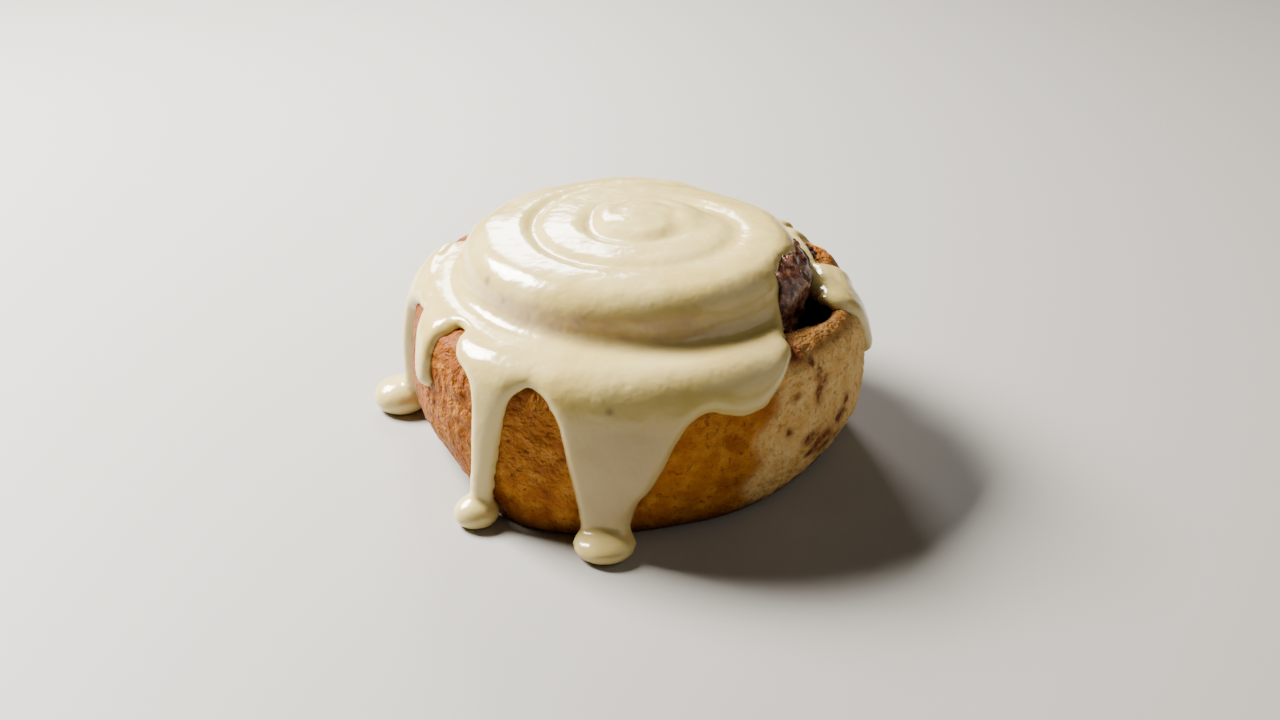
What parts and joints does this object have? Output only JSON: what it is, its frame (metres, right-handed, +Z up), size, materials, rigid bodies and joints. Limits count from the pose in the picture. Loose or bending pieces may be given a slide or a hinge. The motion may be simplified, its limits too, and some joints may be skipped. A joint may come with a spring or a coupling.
{
  "type": "glazed cinnamon roll",
  "caption": "Round baked pastry of dough wound in a spiral round a dark cinnamon filling, with cream glaze poured over its top and running down its side",
  "frame": {"origin": "centre of the flat underside, on the surface that the roll stands on, under the axis that the dough is wound round", "axes": "+Z up out of the top, -Y towards the picture's viewer, +X to the right, so the strip's tail and the bare gap face +X"},
  "size_m": [0.1085, 0.106, 0.0482],
  "materials": {
    "baked_dough": "satin",
    "cinnamon_filling": "glossy",
    "cream_glaze": "glossy"
  },
  "bodies": {
    "root": {"dough": "baked_dough", "filling": "cinnamon_filling", "glaze": "cream_glaze"}
  },
  "joints": []
}
